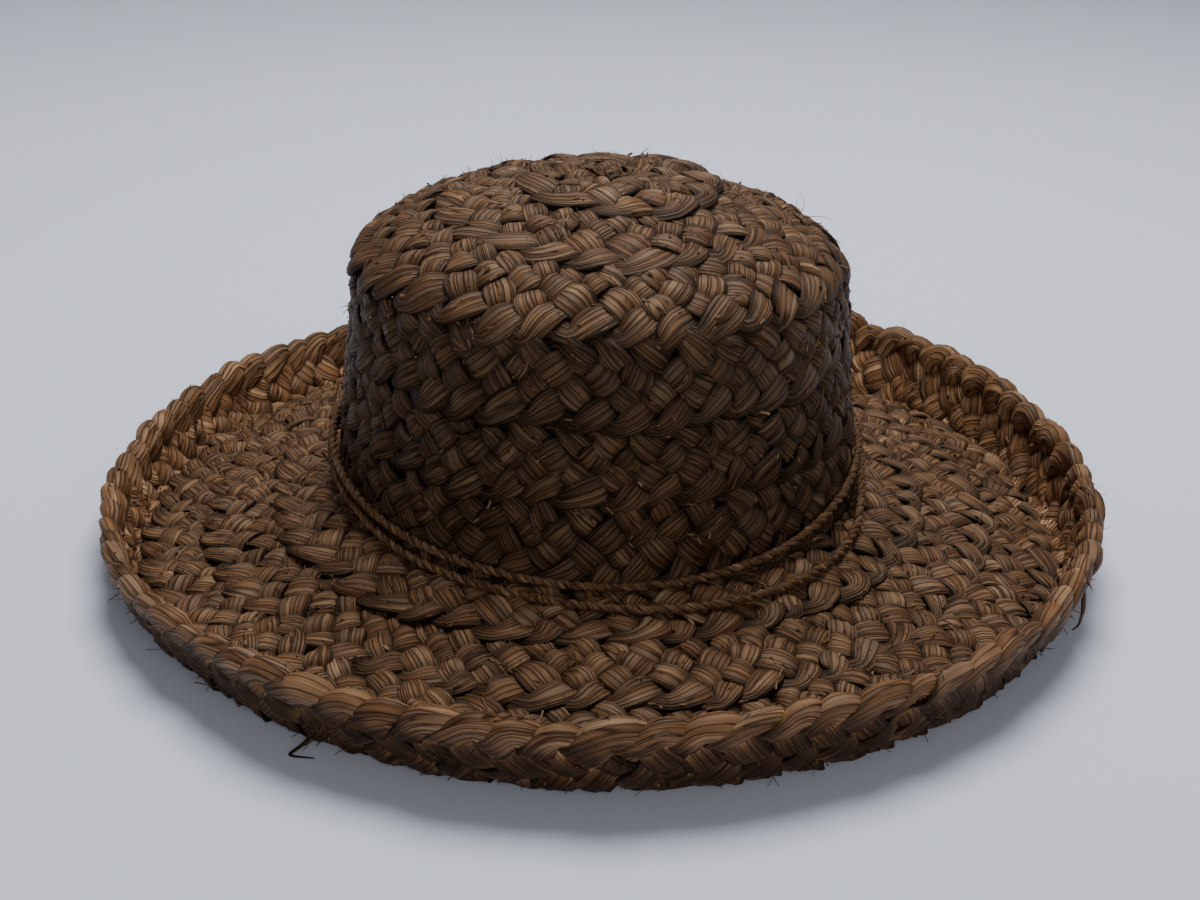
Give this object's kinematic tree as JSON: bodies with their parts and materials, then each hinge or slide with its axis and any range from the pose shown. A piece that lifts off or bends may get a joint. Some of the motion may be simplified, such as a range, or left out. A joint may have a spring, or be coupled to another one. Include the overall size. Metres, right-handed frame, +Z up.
{
  "type": "sun hat",
  "caption": "Wide-brimmed sun hat of sewn flat raffia plait: low domed crown, sloping brim with a turned-up edge, and a thin twisted cord round the crown.",
  "frame": {"origin": "on the surface that the hat rests on, under the middle of the brim", "axes": "+Z up through the crown, -Y towards the front of the hat as pictured, +X to its right in that view"},
  "size_m": [0.3582, 0.373, 0.1343],
  "materials": {
    "crown_straw": "matte dark brown raffia plait with a faint dry sheen",
    "brim_straw": "matte brown raffia plait with a faint dry sheen",
    "cord": "matte dark brown twisted two-ply raffia cord"
  },
  "bodies": {
    "root": {"crown_tip": "crown_straw", "crown_side": "crown_straw", "brim": "brim_straw", "brim_edge": "brim_straw", "cord_upper": "cord", "cord_lower": "cord", "cord_knot": "cord"}
  },
  "joints": []
}
